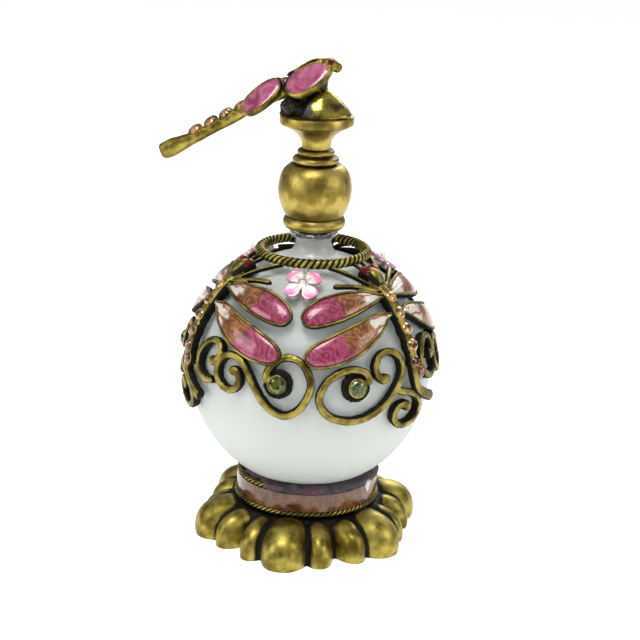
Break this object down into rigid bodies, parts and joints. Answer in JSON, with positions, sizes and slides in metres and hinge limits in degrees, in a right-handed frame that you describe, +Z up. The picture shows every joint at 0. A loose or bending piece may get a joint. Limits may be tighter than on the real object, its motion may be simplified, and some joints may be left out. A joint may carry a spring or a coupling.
{
  "type": "perfume bottle",
  "caption": "Round frosted perfume bottle on a lobed cast foot, caged in cast dragonflies, blossoms and scrolls, with a turned lift-out stopper carrying a dragonfly and a dauber rod.",
  "frame": {"origin": "centre of the foot's underside, on the bottle's axis", "axes": "+Z up the bottle's axis through the stopper; +X towards the head of the stopper's dragonfly; -Y out of the middle of a blossom and a corner of the foot"},
  "size_m": [0.0693, 0.065, 0.117],
  "materials": {
    "frosted_glass": "sandblasted frosted globe, neck left clear",
    "clear_plug": "clear, polished",
    "dauber_glass": "clear, fire polished",
    "antique_brass": "antiqued plating, black in the recesses, rubbed bright on the high points",
    "turned_brass": "antiqued, fine turning lines",
    "silvered_metal": "bright silver plate",
    "wing_enamel": "glossy pearly enamel, raspberry to amber to white",
    "top_wing_enamel": "glossy pearly rose enamel",
    "petal_enamel": "glossy pink enamel fading to white",
    "band_enamel": "pearly copper-brown enamel",
    "cement": "dark adhesive, rough",
    "amber_crystal": "foiled cut crystal",
    "garnet_crystal": "foiled cut crystal",
    "green_crystal": "foiled cut crystal",
    "eye_crystal": "small cut crystal"
  },
  "bodies": {
    "bottle": {"glass_bottle": "frosted_glass", "foot_casting": "antique_brass", "foot_band": "antique_brass", "foot_band_enamel": "band_enamel", "foot_band_lower_rope": "antique_brass", "foot_band_upper_rope": "antique_brass", "globe_cement": "cement", "rope_collar": "antique_brass", "dragonfly_1": "antique_brass", "dragonfly_2": "antique_brass", "dragonfly_3": "antique_brass", "wing_enamel_1": "wing_enamel", "wing_enamel_2": "wing_enamel", "wing_enamel_3": "wing_enamel", "amber_crystals_1": "amber_crystal", "amber_crystals_2": "amber_crystal", "amber_crystals_3": "amber_crystal", "dark_crystals_1": "garnet_crystal", "dark_crystals_2": "garnet_crystal", "dark_crystals_3": "garnet_crystal", "eye_crystals_1": "eye_crystal", "eye_crystals_2": "eye_crystal", "eye_crystals_3": "eye_crystal", "scroll_right_1": "antique_brass", "scroll_right_2": "antique_brass", "scroll_right_3": "antique_brass", "scroll_left_1": "antique_brass", "scroll_left_2": "antique_brass", "scroll_left_3": "antique_brass", "green_crystals_1": "green_crystal", "green_crystals_2": "green_crystal", "green_crystals_3": "green_crystal", "blossom_1": "silvered_metal", "blossom_2": "silvered_metal", "blossom_3": "silvered_metal", "blossom_enamel_1": "petal_enamel", "blossom_enamel_2": "petal_enamel", "blossom_enamel_3": "petal_enamel"},
    "stopper": {"finial": "turned_brass", "stopper_plug": "clear_plug", "dauber_rod": "dauber_glass", "finial_cement": "cement", "leaf_mount": "antique_brass", "top_dragonfly": "antique_brass", "top_wing_enamel": "top_wing_enamel", "top_crystals": "amber_crystal", "top_eye_crystals": "eye_crystal"}
  },
  "joints": [
    {"name": "stopper_lift", "type": "slide", "parent": "bottle", "child": "stopper", "axis": [0, 0, 1], "range_m": [0, 0.046]}
  ]
}
